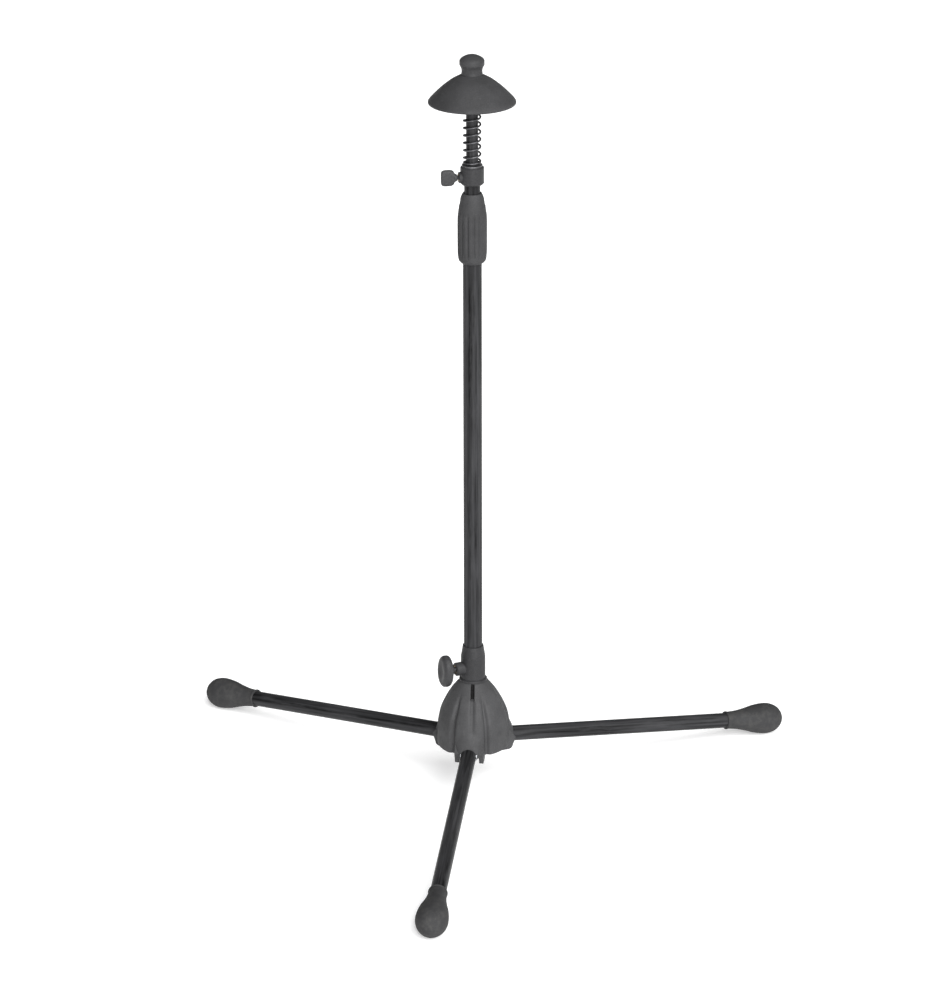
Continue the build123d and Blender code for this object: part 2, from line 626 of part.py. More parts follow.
def bell_saucer():
    """A thin convex dish with a hub that turns on the rod's spindle."""
    bore = SPINDLE_R + RUNNING
    edge = (SAUCER_R, SAUCER_RIM_Z)
    inner_edge = (SAUCER_R - SAUCER_EDGE_T, SAUCER_RIM_Z - 0.2)
    top = Spline((PEG_WAIST_R, PEG_SEAT_Z), *SAUCER_KNOTS, edge)
    lip = RadiusArc(edge, inner_edge, 1.3)
    under = Spline(inner_edge, *UNDER_KNOTS, SAUCER_NECK)
    hub = Polyline(SAUCER_NECK, (SAUCER_HUB_R, SAUCER_NECK[1] - 4), (SAUCER_HUB_R, SAUCER_HUB_LOW_Z),
                   (bore, SAUCER_HUB_LOW_Z), (bore, SAUCER_HUB_TOP_Z), (PEG_BORE_R, SAUCER_HUB_TOP_Z),
                   (PEG_BORE_R, PEG_SPIGOT_LOW_Z), (PEG_SPIGOT_R, PEG_SPIGOT_LOW_Z),
                   (PEG_SPIGOT_R, PEG_SEAT_Z), (PEG_WAIST_R, PEG_SEAT_Z))
    return lathe(Plane.XZ * (top + lip + under + hub))


def bell_peg():
    """The peg that enters the instrument's bell, hollow below for the screw's head."""
    land_low, land_high = PEG_LAND
    return turned((PEG_BORE_R, PEG_SPIGOT_LOW_Z), (PEG_SPIGOT_R, PEG_SPIGOT_LOW_Z),
                  (PEG_SPIGOT_R, PEG_SEAT_Z), (PEG_WAIST_R, PEG_SEAT_Z), (PEG_WAIST_R, PEG_WAIST_Z),
                  (PEG_R, land_low), (PEG_R, land_high), *PEG_CROWN, (0, PEG_TOP_Z), (0, PEG_ROOF_Z),
                  (PEG_BORE_R, PEG_ROOF_Z))


# ---------------------------------------------------------------- write every part
os.makedirs("parts", exist_ok=True)

save("hub_housing", hub_housing())
save("guide_bush", guide_bush())
save("pivot_pins", pivot_pins())
save("neck_collar", neck_collar())

at_base_screw = Pos(0, 0, BASE_SCREW_Z)
for name, shape in {"base_insert": base_insert(), "base_pad": base_pad(), "base_screw": base_screw(),
                    "base_knob": base_knob()}.items():
    save(name, on_hub(at_base_screw * shape, BASE_SCREW_ANGLE))

for side, angle in LEG_ANGLES.items():
    save(f"leg_tube_{side}", on_leg(leg_tube(), angle))
    save(f"leg_knuckle_{side}", on_leg(leg_knuckle(), angle))
    save(f"drive_pin_{side}", on_leg(drive_pin(), angle))
    save(f"leg_rivet_{side}", on_leg(leg_rivet(), angle))
    save(f"foot_{side}", standing_foot(angle))

save("lower_tube", lower_tube())
save("fold_plunger", fold_plunger())
save("plunger_rivet", plunger_rivet())
save("clutch_ferrule", clutch_ferrule())
save("clutch_collet", clutch_collet())
save("clutch_nut", clutch_nut())
save("clutch_grip", clutch_grip())

save("upper_tube", upper_tube())
save("tube_guide", tube_guide())
save("top_collar", top_collar())
save("rod_bush", rod_bush())
save("lower_spring_seat", spring_seat(COLLAR_TOP_Z, SPRING_LOW_Z))

at_rod_screw = Pos(0, 0, ROD_SCREW_Z)
for name, shape in {"rod_insert": rod_insert(), "rod_pad": rod_pad(), "rod_screw": rod_screw(),
                    "rod_knob": rod_knob()}.items():
    save(name, on_hub(at_rod_screw * shape, ROD_SCREW_ANGLE))

save("bell_rod", bell_rod())
save("rod_plug", rod_plug())
save("rod_clip", rod_clip())
save("upper_spring_seat", spring_seat(SPRING_HIGH_Z, FLANGE_Z))
save("bell_spring", bell_spring())
save("rest_washer", rest_washer())
save("rest_screw", rest_screw())
save("bell_saucer", bell_saucer())
save("bell_peg", bell_peg())

print(f"slope {SLOPE:.3f}, fold {FOLD:.3f}, pivot {PIVOT_R:.2f} {PIVOT_Z:.3f}, stroke {STROKE:.3f}")
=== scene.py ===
"""Looks for a tall tripod stand for a brass instrument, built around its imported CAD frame.

The hub, spring, hand grip, feet, bell rest, knobs and studs are modelled here in mesh code.
The tubes, collars, washers and inner parts are the CAD nodes themselves, with finished materials.
"""
import json
from math import atan2, ceil, cos, exp, hypot, pi, radians, sin, tau

import bpy
from mathutils import Matrix, Vector


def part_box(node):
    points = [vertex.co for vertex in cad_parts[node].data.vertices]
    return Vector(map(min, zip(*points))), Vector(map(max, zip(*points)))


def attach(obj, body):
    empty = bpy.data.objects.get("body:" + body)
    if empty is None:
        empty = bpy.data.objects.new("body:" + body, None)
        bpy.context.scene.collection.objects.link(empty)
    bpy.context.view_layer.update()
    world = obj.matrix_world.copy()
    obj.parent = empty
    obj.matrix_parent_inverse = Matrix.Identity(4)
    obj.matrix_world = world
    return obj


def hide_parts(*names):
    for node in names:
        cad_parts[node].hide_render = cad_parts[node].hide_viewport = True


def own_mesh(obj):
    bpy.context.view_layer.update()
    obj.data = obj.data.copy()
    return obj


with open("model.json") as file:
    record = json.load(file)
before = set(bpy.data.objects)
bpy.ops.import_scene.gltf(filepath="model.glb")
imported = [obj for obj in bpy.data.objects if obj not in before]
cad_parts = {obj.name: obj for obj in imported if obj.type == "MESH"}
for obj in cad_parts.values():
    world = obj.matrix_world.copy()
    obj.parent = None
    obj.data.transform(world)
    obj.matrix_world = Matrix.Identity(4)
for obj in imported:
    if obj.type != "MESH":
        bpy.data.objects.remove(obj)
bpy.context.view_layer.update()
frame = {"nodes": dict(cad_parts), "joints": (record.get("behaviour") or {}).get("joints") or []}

MM = 0.001                      # lengths below are in millimetres, Blender's in metres
LEG_ANGLES = {"front": -90, "right": 30, "left": 150}
JOINTS = {joint["name"]: joint for joint in frame["joints"]}


# ---------------------------------------------------------------- small helpers
def mix(a, b, t):
    """The value at t on the way from a, at 0, to b, at 1."""
    return a + (b - a) * t


def smoothstep(low, high, x):
    """An even rise from 0, at low, to 1, at high. It falls where low is above high."""
    t = min(1.0, max(0.0, (x - low) / (high - low)))
    return t * t * (3 - 2 * t)


def superellipse(angle, half_x, half_y, power):
    """A point on a rounded rectangle; power 2 is an ellipse."""
    c, s = cos(angle), sin(angle)
    x = half_x * abs(c) ** (2 / power) * (1 if c >= 0 else -1)
    y = half_y * abs(s) ** (2 / power) * (1 if s >= 0 else -1)
    return x, y


def curve_through(points, steps=8):
    """Points on a smooth curve through the given ones."""
    out = []
    padded = [points[0]] + list(points) + [points[-1]]
    for i in range(1, len(padded) - 2):
        p0, p1, p2, p3 = (Vector(p) for p in padded[i - 1:i + 3])
        for k in range(steps):
            t = k / steps
            slope1, slope2 = (p2 - p0) / 2, (p3 - p1) / 2
            a = (2 * t**3 - 3 * t**2 + 1) * p1 + (t**3 - 2 * t**2 + t) * slope1
            out.append(tuple(a + (3 * t**2 - 2 * t**3) * p2 + (t**3 - t**2) * slope2))
    return out + [tuple(points[-1])]


def arc(centre, radius, start, end, steps=6):
    """Points on an arc, angles in degrees."""
    turns = [radians(mix(start, end, k / steps)) for k in range(steps + 1)]
    return [(centre[0] + radius * cos(a), centre[1] + radius * sin(a)) for a in turns]


def turn_from(middle, angle):
    """The turn from a middle direction to an angle, from minus half a turn to half a turn."""
    return (angle - middle + pi) % tau - pi


def new_piece(name, points, faces, place=Matrix.Identity(4), sharp=35):
    """A smooth-shaded mesh object from points in millimetres, with sharp edges past an angle."""
    mesh = bpy.data.meshes.new(name)
    mesh.from_pydata([place @ (Vector(p) * MM) for p in points], [], faces)
    mesh.validate()
    mesh.polygons.foreach_set("use_smooth", [True] * len(mesh.polygons))
    mesh.set_sharp_from_angle(angle=radians(sharp))
    piece = bpy.data.objects.new(name, mesh)
    bpy.context.scene.collection.objects.link(piece)
    return piece


def ring_mesh(rings, closed_loop=False):
    """Points and faces of a skin over rings of equal size. A ring of one point is a tip."""
    points, starts, faces = [], [], []
    for ring in rings:
        starts.append(len(points))
        points += ring
    pairs = list(zip(range(len(rings)), range(1, len(rings))))
    if closed_loop:
        pairs.append((len(rings) - 1, 0))
    for i, j in pairs:
        a, b = rings[i], rings[j]
        count = max(len(a), len(b))
        for k in range(count):
            n = (k + 1) % count
            if len(a) == 1:
                faces.append((starts[i], starts[j] + n, starts[j] + k))
            elif len(b) == 1:
                faces.append((starts[i] + k, starts[i] + n, starts[j]))
            else:
                faces.append((starts[i] + k, starts[i] + n, starts[j] + n, starts[j] + k))
    return points, faces


def turned(name, outline, segments=96, place=Matrix.Identity(4), radius_at=None, closed=True, sharp=35):
    """A turned piece about its own Z from (radius, height) points, listed anticlockwise.

    radius_at(radius, height, angle, row) may vary the radius around the piece. An outline that starts and
    ends on the axis is not closed."""
    rings = []
    for row, (radius, height) in enumerate(outline):
        if radius < 1e-6:
            rings.append([(0.0, 0.0, height)])
            continue
        ring = []
        for k in range(segments):
            angle = tau * k / segments
            r = radius_at(radius, height, angle, row) if radius_at else radius
            ring.append((r * cos(angle), r * sin(angle), height))
        rings.append(ring)
    points, faces = ring_mesh(rings, closed_loop=closed)
    return new_piece(name, points, faces, place, sharp)


def along(direction, origin):
    """A placement whose local Z points along a direction from a point in metres."""
    turn = Vector(direction).to_track_quat("Z", "X").to_matrix().to_4x4()
    return Matrix.Translation(origin) @ turn


def apply_modifiers(piece):
    """Replace a piece's mesh with what its modifiers make."""
    view = bpy.context.evaluated_depsgraph_get()
    result = bpy.data.meshes.new_from_object(piece.evaluated_get(view))
    piece.modifiers.clear()
    piece.data = result


def combine(piece, tool, operation):
    """Join a tool to a piece, or cut it away, and delete the tool."""
    step = piece.modifiers.new("combine", "BOOLEAN")
    step.operation = operation
    step.solver = "EXACT"
    step.object = tool
    apply_modifiers(piece)
    bpy.data.objects.remove(tool)


def resharpen(piece, angle=35):
    """Smooth shading again, with sharp edges past an angle in degrees."""
    piece.data.polygons.foreach_set("use_smooth", [True] * len(piece.data.polygons))
    piece.data.set_sharp_from_angle(angle=radians(angle))


def prism(name, outline, y0, y1, place):
    """A solid with an (x, z) outline, between two Y positions."""
    front = [(x, y0, z) for x, z in outline]
    back = [(x, y1, z) for x, z in outline]
    points, faces = ring_mesh([front, back])
    count = len(outline)
    faces += [tuple(range(count))[::-1], tuple(range(count, 2 * count))]
    return new_piece(name, points, faces, place)


def finish_piece(piece, body, slot, material, *nodes):
    """Give a piece its material, its body and the CAD nodes it stands for."""
    piece.data.materials.clear()
    piece.data.materials.append(material)
    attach(piece, body)
    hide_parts(*nodes)


# ---------------------------------------------------------------- materials
# A Mix node's colour inputs and colour output, by index
MIX_FIRST, MIX_SECOND, MIX_RESULT = 6, 7, 2


class Surface:
    """One procedural material. Its detail is laid out in the piece's own coordinates, in metres."""

    def __init__(self, name, roughness, metallic=0.0, specular=0.5):
        self.material = bpy.data.materials.new(name)
        self.material.use_nodes = True
        self.tree = self.material.node_tree
        self.shader = self.tree.nodes["Principled BSDF"]
        self.set("Roughness", roughness)
        self.set("Metallic", metallic)
        self.set("Specular IOR Level", specular)
        self.place = self.node("ShaderNodeTexCoord").outputs["Object"]
        self.relief = None

    def set(self, socket, value):
        """Set one of the shader's own inputs."""
        self.shader.inputs[socket].default_value = value

    def feed(self, socket, value):
        """Link a socket to the one given, or set it to a value."""
        if isinstance(value, bpy.types.NodeSocket):
            self.tree.links.new(value, socket)
        else:
            socket.default_value = value

    def node(self, kind, **inputs):
        """A new node with the named inputs set or linked."""
        made = self.tree.nodes.new(kind)
        for name, value in inputs.items():
            self.feed(made.inputs[name], value)
        return made

    def lay_along(self, matrix):
        """Lay the detail out in turned coordinates, so that streaks along Z follow a sloping part."""
        turned_place = self.node("ShaderNodeMapping", Vector=self.place, Rotation=matrix.to_euler("XYZ"))
        self.place = turned_place.outputs[0]

    def noise(self, size, detail=3.0, stretch=(1, 1, 1), rough=0.5):
        """Noise with features of about the given size in metres, from 0 to 1."""
        mapped = self.node("ShaderNodeMapping", Vector=self.place, Scale=stretch)
        made = self.node("ShaderNodeTexNoise", Vector=mapped.outputs[0], Scale=1 / size, Detail=detail,
                         Roughness=rough)
        return made.outputs["Fac"]

    def steps(self, value, low, high, out_low=0.0, out_high=1.0):
        """A value rescaled from one range to another, and held at the ends."""
        ends = {"From Min": low, "From Max": high, "To Min": out_low, "To Max": out_high}
        return self.node("ShaderNodeMapRange", Value=value, **ends).outputs["Result"]

    def math(self, operation, first, second):
        """Two values, or sockets, added or multiplied."""
        made = self.tree.nodes.new("ShaderNodeMath")
        made.operation = operation
        self.feed(made.inputs[0], first)
        self.feed(made.inputs[1], second)
        return made.outputs[0]

    def blend(self, factor, first, second):
        """Two colours, or sockets, mixed by a factor."""
        made = self.tree.nodes.new("ShaderNodeMix")
        made.data_type = "RGBA"
        self.feed(made.inputs["Factor"], factor)
        for index, colour in ((MIX_FIRST, first), (MIX_SECOND, second)):
            linked = isinstance(colour, bpy.types.NodeSocket)
            self.feed(made.inputs[index], colour if linked else (*colour, 1))
        return made.outputs[MIX_RESULT]

    def colour(self, socket):
        self.tree.links.new(socket, self.shader.inputs["Base Color"])

    def roughness(self, socket):
        self.tree.links.new(socket, self.shader.inputs["Roughness"])

    def bump(self, height, depth):
        """Add relief of about the given depth in metres."""
        made = self.node("ShaderNodeBump", Height=height, Distance=depth)
        if self.relief is not None:
            self.tree.links.new(self.relief, made.inputs["Normal"])
        self.relief = made.outputs["Normal"]
        self.tree.links.new(self.relief, self.shader.inputs["Normal"])


def shade(colour, times):
    """A colour made lighter or darker."""
    return [c * times for c in colour]


def moulded(name, colour, pale, roughness, grain=0.00045, depth=0.00005):
    """Matte moulded plastic: eggshell grain, soft mottling, pale scuffs."""
    s = Surface(name, roughness, specular=0.12)
    mottle = s.steps(s.noise(0.018, 4), 0.35, 0.7)
    scuff = s.steps(s.noise(0.006, 6, stretch=(1, 1, 0.25), rough=0.7), 0.6, 0.72, 0, 0.5)
    speck = s.steps(s.noise(grain * 2.2, 2), 0.3, 0.75, 0, 0.35)
    base = s.blend(mottle, colour, shade(colour, 1.4))
    base = s.blend(speck, base, pale)
    s.colour(s.blend(scuff, base, pale))
    s.roughness(s.steps(s.noise(0.004, 4), 0.3, 0.7, roughness - 0.07, roughness + 0.08))
    s.bump(s.noise(grain, 3), depth)
    s.bump(s.noise(0.009, 2), depth * 3)
    return s.material


def enamel(name, colour, turn=Matrix.Identity(3)):
    """Black enamel on a drawn tube: orange peel, drawing marks mixed with painted reflection streaks, and
    rubbed streaks, all along Z.
    """
    s = Surface(name, 0.36, specular=0.07)
    s.lay_along(turn)
    lines_and_painted_sheen = s.noise(0.0042, 5, stretch=(1, 1, 0.02), rough=0.7)
    rubbed = s.steps(s.noise(0.009, 6, stretch=(1, 1, 0.12), rough=0.7), 0.48, 0.7, 0, 0.7)
    # light and dark streaks along Z in the colour: partly drawing marks, partly painted reflection streaks
    base = s.blend(s.steps(lines_and_painted_sheen, 0.36, 0.64), shade(colour, 0.15), shade(colour, 1.9))
    s.colour(s.blend(rubbed, base, shade(colour, 2.4)))
    s.roughness(s.math("ADD", s.steps(lines_and_painted_sheen, 0.3, 0.7, 0.3, 0.42), s.math("MULTIPLY", rubbed, 0.12)))
    s.bump(s.noise(0.0014, 2), 0.00001)
    s.bump(lines_and_painted_sheen, 0.00003)
    return s.material


def rubber(name, colour, dusty):
    """Soft rubber: dull, finely pitted, with floor dust caught in the pits."""
    s = Surface(name, 0.7, specular=0.1)
    dust = s.steps(s.noise(0.007, 7, rough=0.7), 0.45, 0.75, 0, 0.7)
    pits = s.noise(0.0007, 4, rough=0.6)
    base = s.blend(s.steps(s.noise(0.02, 3), 0.35, 0.7), colour, shade(colour, 1.25))
    base = s.blend(s.steps(pits, 0.3, 0.7, 0.25, 0), base, shade(colour, 0.45))
    s.colour(s.blend(dust, base, dusty))
    s.roughness(s.steps(dust, 0, 0.7, 0.62, 0.85))
    s.bump(pits, 0.00009)
    s.bump(s.noise(0.004, 3), 0.00016)
    return s.material


def metal(name, colour, roughness, brush=(1, 1, 1), tarnish=0.35, depth=0.00001):
    """Plated, turned or cast metal with brushing, tarnish and handling marks."""
    s = Surface(name, roughness, metallic=1.0)
    brushed = s.noise(0.0009, 4, stretch=brush)
    stain = s.steps(s.noise(0.005, 6, rough=0.65), 0.42, 0.72, 0, tarnish)
    base = s.blend(s.steps(brushed, 0.3, 0.7), colour, shade(colour, 1.25))
    s.colour(s.blend(stain, base, shade(colour, 0.45)))
    s.roughness(s.math("ADD", s.steps(brushed, 0.3, 0.7, roughness - 0.06, roughness + 0.08), stain))
    s.bump(brushed, depth)
    return s.material


def nylon(name, colour):
    """Natural nylon: milky, a little translucent, with faint flow marks."""
    s = Surface(name, 0.45, specular=0.4)
    s.set("Subsurface Weight", 0.15)
    s.set("Subsurface Scale", 0.002)
    flow = s.noise(0.008, 5, stretch=(1, 1, 0.4))
    s.colour(s.blend(s.steps(flow, 0.35, 0.7), colour, shade(colour, 0.82)))
    s.roughness(s.steps(s.noise(0.002, 3), 0.3, 0.7, 0.38, 0.55))
    s.bump(s.noise(0.0006, 3), 0.00003)
    return s.material


HUB_BLACK = (0.032, 0.032, 0.033)
# near black for the faces inside the hub's slots: painted shade, so the slots read dark
PAINTED_SHADE_BLACK = (0.004, 0.004, 0.004)
REST_BLACK = (0.024, 0.024, 0.025)
GRIP_BLACK = (0.023, 0.023, 0.024)
COLLAR_BLACK = (0.016, 0.016, 0.017)
KNOB_BLACK = (0.022, 0.022, 0.023)
TUBE_BLACK = (0.018, 0.018, 0.019)
PALE_SCUFF = (0.07, 0.07, 0.072)

hub_plastic = moulded("hub_plastic", HUB_BLACK, PALE_SCUFF, 0.55)
# painted shade: a near-black copy of the hub plastic, laid on the faces inside the slots
hub_painted_shade = moulded("hub_painted_shade", PAINTED_SHADE_BLACK, HUB_BLACK, 0.8)
rest_plastic = moulded("rest_plastic", REST_BLACK, PALE_SCUFF, 0.5, grain=0.00035)
grip_plastic = moulded("grip_plastic", GRIP_BLACK, PALE_SCUFF, 0.6, grain=0.0003)
collar_plastic = moulded("collar_plastic", COLLAR_BLACK, PALE_SCUFF, 0.45, grain=0.0003)
knob_plastic = moulded("knob_plastic", KNOB_BLACK, PALE_SCUFF, 0.4, grain=0.0005)
foot_rubber = rubber("foot_rubber", (0.028, 0.028, 0.029), (0.058, 0.057, 0.055))
shaft_enamel = enamel("shaft_enamel", TUBE_BLACK)
rod_enamel = enamel("rod_enamel", TUBE_BLACK)
spring_steel = metal("spring_steel", (0.09, 0.09, 0.095), 0.34, tarnish=0.5)
blackened_steel = metal("blackened_steel", (0.12, 0.12, 0.125), 0.42, tarnish=0.5)
zinc_plate = metal("zinc_plate", (0.55, 0.56, 0.58), 0.28)
cast_zinc = metal("cast_zinc", (0.36, 0.36, 0.37), 0.5, tarnish=0.4, depth=0.00006)
turned_brass = metal("turned_brass", (0.34, 0.25, 0.13), 0.38, brush=(1, 1, 12), tarnish=0.5)
white_nylon = nylon("white_nylon", (0.66, 0.64, 0.58))


# ---------------------------------------------------------------- leg frames
FOOT_REACH = 341.6              # shaft axis to the middle of a foot, as in the CAD
FOOT_Z = 15.9
LEG_AXIS_Z = 57.4               # where the legs' axes meet the shaft's axis
LEG_TUBE_R = 8.0
LEGS_MEET = Vector((0, 0, LEG_AXIS_Z)) * MM
SLOPE = atan2(LEG_AXIS_Z - FOOT_Z, FOOT_REACH)


def leg_direction(side):
    """The direction in which a leg runs outwards and down."""
    a = radians(LEG_ANGLES[side])
    return Vector((cos(a) * cos(SLOPE), sin(a) * cos(SLOPE), -sin(SLOPE)))


def leg_place(side):
    """Local Y runs out along the leg, Z up from it and X across, from where the legs' axes meet."""
    out = leg_direction(side)
    across = out.cross(Vector((0, 0, 1))).normalized()
    turn = Matrix((across, out, across.cross(out))).transposed().to_4x4()
    return Matrix.Translation(LEGS_MEET) @ turn


# ---------------------------------------------------------------- hub
HUB_SIDE = curve_through([(37.8, 50), (37.6, 62), (37.4, 73), (34.3, 88), (24.2, 108.5), (14.3, 121.5)], 12)
HUB_TOP_Z = HUB_SIDE[-1][1]
HUB_RIM_Z = 51.2                # the rounded rim ends here and the side starts
HUB_RIM_INNER_R = 34.8
HUB_ROW = 1.17                  # height of one row of faces up the side
HUB_ROWS = 60
HUB_INNER_ROW = 2.5             # and of one down the inside
HUB_INNER_ROWS = 20
HUB_WALL = 3.0
HUB_WEB_Z = 100.5               # roof of the hub's hollow
HUB_BORE_R = 10.8
SOCKET_R = 11.6                 # the neck collar's socket in the hub's top
SOCKET_FLOOR_Z = 114.0
NECK_WALL_R = 13.2              # the slots stop short of that socket's wall

HUB_FLARE = 5.6                 # how far the hub flares out above each leg
FLARE_FADES = (8, 24)           # it fades between these distances from the leg's axis
FLARE_NARROWER = 1.25           # it fades this much sooner across the leg than upwards
VALLEY_TURN = radians(29)       # a valley runs down at each side of a leg
VALLEY_WIDTH = radians(4.5)
VALLEY_DEEP = 3.4
VALLEY_FADES = (116, 94)        # heights between which the valleys start
RIB_PROUD = 0.7                 # a broad rib stands between the valleys
RIB_FADES = (118, 96)
SLOT_LOW_Z = 107.5
SLOT_RAMP = 0.8                 # height of the sloping foot of a slot
SLOT_TURN = radians(5)          # the moulded slots sit a little to one side of the legs
SLOT_SIDES = (1.6, 2.0)         # a slot's sides slope between these distances from its middle
SLOT_DEEP = 5.5
SLOT_SKIN = 0.4                 # the painted slot shade starts this far below the hub's skin
SLOT_SLACK = 0.5                # and it reaches this far past a slot's foot and floor
GROOVE_DEEP = 2.2               # a groove runs down from each slot and fades
GROOVE_WIDTH = 2.4
GROOVE_FADES = (62, 98)

TUNNEL_HALF = 10.75             # half the width of the opening that a leg swings in
TUNNEL_START = 27.0             # the arched part of that opening, measured out along the leg
TUNNEL_END = 80.0
CHEEK = 4.0                     # thickness of the plates beside each leg
CHEEK_INTO_HUB = 0.3
CHEEK_SIDE = (arc((26.5, 47.5), 6, 180, 270) + arc((33.5, 47.5), 6, 270, 315)
              + [(42, 54), (36, 62), (20.5, 62)])
ROOM_SIDE = [(12, 30), (33.5, 30), (33.5, 64.6), (12, 64.6)]
BELOW = -60.0                   # well below anything that a cut has to clear


def hub_side_radius(height):
    """The radius of the plain bell at a height."""
    for (r0, z0), (r1, z1) in zip(HUB_SIDE, HUB_SIDE[1:]):
        if z0 <= height <= z1:
            return mix(r0, r1, (height - z0) / (z1 - z0))
    return HUB_SIDE[-1][0] if height > HUB_TOP_Z else HUB_SIDE[0][0]


def hub_relief(radius, height, angle):
    """What the moulded hub adds to a plain turned bell: a flare over each leg, valleys and slots."""
    extra = 0.0
    for leg in LEG_ANGLES.values():
        turn = turn_from(radians(leg), angle)
        if abs(turn) > radians(60):
            continue
        above_leg = max(0.0, height - (LEG_AXIS_Z - radius * sin(SLOPE)))
        flare = 1 - smoothstep(*FLARE_FADES, hypot(radius * sin(turn) * FLARE_NARROWER, above_leg))
        valleys = sum(exp(-((turn - side * VALLEY_TURN) / VALLEY_WIDTH) ** 2) for side in (-1, 1))
        valleys *= VALLEY_DEEP * smoothstep(*VALLEY_FADES, height)
        rib = RIB_PROUD * smoothstep(*RIB_FADES, height) * cos(3 * turn)
        off_slot = radius * sin(turn - SLOT_TURN)
        above_slot = smoothstep(SLOT_LOW_Z - SLOT_RAMP, SLOT_LOW_Z, height)
        slot = min(SLOT_DEEP, max(0.0, radius - NECK_WALL_R))
        slot *= above_slot * (1 - smoothstep(*SLOT_SIDES, abs(off_slot)))
        groove = GROOVE_DEEP * exp(-(off_slot / GROOVE_WIDTH) ** 2)
        groove *= smoothstep(*GROOVE_FADES, height) * (1 - above_slot)
        extra += HUB_FLARE * flare - slot + (rib - valleys - groove) * (1 - flare)
    return extra


def in_a_slot(point):
    """Whether a point lies below the hub's skin inside one of the three slots."""
    if not SLOT_LOW_Z - SLOT_SLACK < point.z < HUB_TOP_Z - SLOT_SKIN:
        return False
    radius = hypot(point.x, point.y)
    angle = atan2(point.y, point.x)
    turns = [turn_from(radians(leg) + SLOT_TURN, angle) for leg in LEG_ANGLES.values()]
    across = radius * min(abs(turn) for turn in turns)
    if across >= SLOT_SIDES[1] + SLOT_SKIN:
        return False
    return NECK_WALL_R - SLOT_SLACK < radius < hub_side_radius(point.z) - SLOT_SKIN


def build_hub_shell():
    """The hollow bell with its flares, valleys and slots."""
    rim = arc((37.2, 50.6), 0.6, -90, 0, 3)
    side_heights = [HUB_RIM_Z + HUB_ROW * k for k in range(HUB_ROWS)]
    side = [(hub_side_radius(z), z) for z in side_heights]
    top = [(14.0, HUB_TOP_Z - 0.2), (13.7, HUB_TOP_Z), (SOCKET_R, HUB_TOP_Z), (SOCKET_R, SOCKET_FLOOR_Z),
           (HUB_BORE_R, SOCKET_FLOOR_Z), (HUB_BORE_R, HUB_WEB_Z)]
    inner_heights = [HUB_WEB_Z - HUB_INNER_ROW * k for k in range(HUB_INNER_ROWS)]
    inner = [(hub_side_radius(z) - HUB_WALL, z) for z in inner_heights] + [(HUB_RIM_INNER_R, HUB_SIDE[0][1])]
    outer_rows = len(rim) + len(side)

    def radius_at(radius, height, angle, row):
        if row >= outer_rows:
            return radius
        return radius + hub_relief(radius, max(height, HUB_RIM_Z), angle)

    return turned("hub_shell", rim + side + top + inner, 540, radius_at=radius_at)


def open_for_leg(hub, side):
    """Add the two cheek plates beside a leg, then cut the space that the leg swings in."""
    turn = Matrix.Rotation(radians(LEG_ANGLES[side]), 4, "Z")
    near, far = TUNNEL_HALF - CHEEK_INTO_HUB, TUNNEL_HALF + CHEEK
    for y0, y1 in ((-far, -near), (near, far)):
        combine(hub, prism("cheek", CHEEK_SIDE, y0, y1, turn), "UNION")
    arch = arc((0, 0), TUNNEL_HALF, 0, 180, 24) + [(-TUNNEL_HALF, BELOW), (TUNNEL_HALF, BELOW)]
    combine(hub, prism("tunnel", arch, TUNNEL_START, TUNNEL_END, leg_place(side)), "DIFFERENCE")
    combine(hub, prism("room", ROOM_SIDE, -TUNNEL_HALF, TUNNEL_HALF, turn), "DIFFERENCE")


def build_hub():
    """The moulded hub, with shade painted into its slots as a near-black second material."""
    hub = build_hub_shell()
    for side in LEG_ANGLES:
        open_for_leg(hub, side)
    resharpen(hub, 40)
    finish_piece(hub, "hub", "hub_plastic", hub_plastic, "hub_housing")
    # the faces inside the slots get painted shade, the near-black second material
    hub.data.materials.append(hub_painted_shade)
    for face in hub.data.polygons:
        if in_a_slot(face.center / MM):
            face.material_index = 1


build_hub()


# ---------------------------------------------------------------- hand grip of the clutch
GRIP_R = 14.7
GRIP_NUT_R = 13.2               # the nut inside the grip
GRIP_NECK_R = 11.2
GRIP_MOUTH_R = 8.4
FLUTES = 14
FLUTE_DEEP = 1.15
GRIP_STEP = 0.35                # a shallow step runs round near the top


def build_grip():
    """The fluted hand grip over the clutch's nut."""
    low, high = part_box("clutch_grip")
    foot, crown = low.z / MM, high.z / MM
    side = curve_through([(10.7, foot), (13.5, foot + 3), (14.4, foot + 8), (GRIP_R, foot + 14),
                          (GRIP_R, foot + 45), (13.7, crown - 17), (12.5, crown - 8.5),
                          (GRIP_NECK_R, crown - 3.6), (9.6, crown)], 9)
    bore = [(GRIP_MOUTH_R, crown), (GRIP_MOUTH_R, crown - 6), (GRIP_NECK_R, crown - 6),
            (GRIP_NUT_R, crown - 16), (GRIP_NUT_R, foot + 3), (10, foot + 3), (10, foot)]
    outer_rows = len(side)

    def radius_at(radius, height, angle, row):
        if row >= outer_rows:
            return radius
        fluted = smoothstep(foot + 5, foot + 12, height) * smoothstep(crown - 16, crown - 28, height)
        valley = (0.5 + 0.5 * cos(FLUTES * angle)) ** 2.5
        step = smoothstep(crown - 12.5, crown - 11.7, height) * smoothstep(crown - 5, crown - 8, height)
        return radius - FLUTE_DEEP * fluted * valley - GRIP_STEP * step

    grip = turned("hand_grip", side + bore, 252, radius_at=radius_at, sharp=30)
    finish_piece(grip, "clutch_sleeve", "grip_plastic", grip_plastic, "clutch_grip")


build_grip()


# ---------------------------------------------------------------- spring
WIRE_R = 1.0
COIL_R = 8.25
COIL_TURNS = 9.6
COIL_STEPS = 44                 # steps in one turn
WIRE_SIDES = 14
CLOSED_PITCH = 2 * WIRE_R + 0.05


